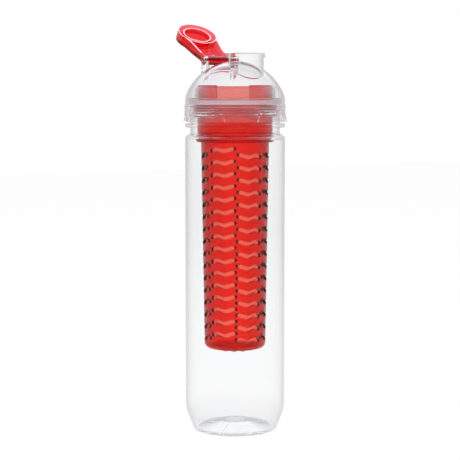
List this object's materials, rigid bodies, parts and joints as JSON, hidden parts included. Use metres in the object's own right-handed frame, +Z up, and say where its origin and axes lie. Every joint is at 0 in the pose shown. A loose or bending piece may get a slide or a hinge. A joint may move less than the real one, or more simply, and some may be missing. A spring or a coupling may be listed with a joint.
{
  "type": "fruit infuser water bottle",
  "caption": "Clear bottle with a screw-on lid, a flip cap over an off-centre drinking spout, and a slotted fruit infuser that hangs inside it from the lid",
  "frame": {"origin": "The middle of the ring that the bottle stands on, at table height.", "axes": "+Z runs up the bottle's axis. The spout is toward -Y and the cap's hinge toward +Y, with its pins along X."},
  "size_m": [0.0742, 0.108, 0.2886],
  "materials": {
    "clear_bottle": "clear, glossy",
    "gasket": "pale translucent silicone, satin",
    "clear_lid": "clear, glossy",
    "clear_dome": "clear, glossy",
    "red_cap": "translucent red, glossy",
    "red_collar": "translucent red, glossy",
    "red_basket": "translucent red, glossy"
  },
  "bodies": {
    "bottle": {"bottle_body": "clear_bottle"},
    "gasket": {"lid_gasket": "gasket"},
    "lid": {"lid_ring": "clear_lid", "lid_dome": "clear_dome"},
    "cap": {"flip_cap": "red_cap"},
    "infuser": {"infuser_collar": "red_collar", "infuser_basket": "red_basket"}
  },
  "joints": [
    {"name": "lid_lift", "type": "slide", "parent": "bottle", "child": "gasket", "axis": [0, 0, 1], "range_m": [0, 0.00801]},
    {"name": "lid_turn", "type": "hinge", "parent": "gasket", "child": "lid", "pos_m": [0, 0, 0.2308], "axis": [0, 0, 1], "range_deg": [0, 720]},
    {"name": "cap_hinge", "type": "hinge", "parent": "lid", "child": "cap", "pos_m": [0, 0.0227, 0.26206], "axis": [1, 0, 0], "range_deg": [0, 150]},
    {"name": "infuser_pull", "type": "slide", "parent": "lid", "child": "infuser", "axis": [0, 0, -1], "range_m": [0, 0.03]}
  ],
  "couplings": [
    {"joint": "lid_lift", "follows": "lid_turn", "m_per_rad": 0.00063662}
  ]
}
